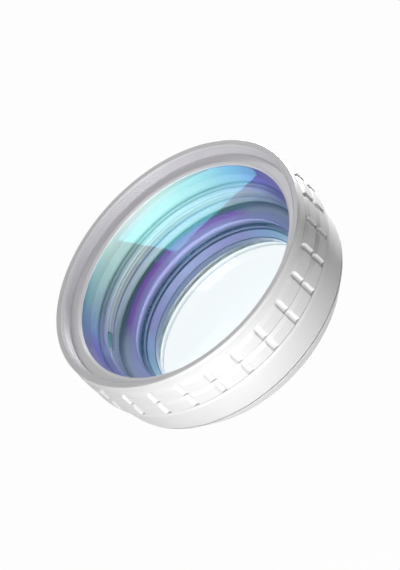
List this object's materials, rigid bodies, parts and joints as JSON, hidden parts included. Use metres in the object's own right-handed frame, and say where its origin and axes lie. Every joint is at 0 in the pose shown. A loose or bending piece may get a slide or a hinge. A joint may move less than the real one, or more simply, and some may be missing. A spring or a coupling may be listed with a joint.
{
  "type": "wide-angle conversion lens",
  "caption": "Screw-on wide-angle conversion lens: ribbed silver ring with a filter thread round a large coated front element and a tapered rear unit with a male thread.",
  "frame": {"origin": "on the optical axis, at the rear face of the male thread, where the lens stands", "axes": "+Z along the optical axis, out of the front element; +X and +Y across it, with the first grip rib 2.5 degrees from +X"},
  "size_m": [0.0552, 0.0552, 0.0222],
  "materials": {
    "silver_metal": "satin pearl silver",
    "grip_metal": "satin pearl silver",
    "front_ring_metal": "satin",
    "inner_metal": "satin, fine turned",
    "cone_metal": "satin",
    "thread_metal": "fine turned",
    "front_glass": "coated",
    "rear_glass": "coated",
    "seal_rubber": "matte",
    "washer_plastic": "matte",
    "screw_steel": "fine turned"
  },
  "bodies": {
    "root": {"front_bezel": "silver_metal", "front_retaining_ring": "front_ring_metal", "front_element_seal": "seal_rubber", "front_element": "front_glass", "front_spacer": "inner_metal", "front_baffle": "inner_metal", "grip_ring": "grip_metal", "main_barrel": "silver_metal", "second_retaining_ring": "inner_metal", "conical_spacer": "cone_metal", "doublet_gasket": "seal_rubber", "doublet_crown": "rear_glass", "doublet_flint": "rear_glass", "joint_washer": "washer_plastic", "macro_housing": "silver_metal", "macro_gasket": "seal_rubber", "macro_crown": "rear_glass", "macro_flint": "rear_glass", "mount_ring": "thread_metal", "bezel_set_screws": "screw_steel"}
  },
  "joints": []
}
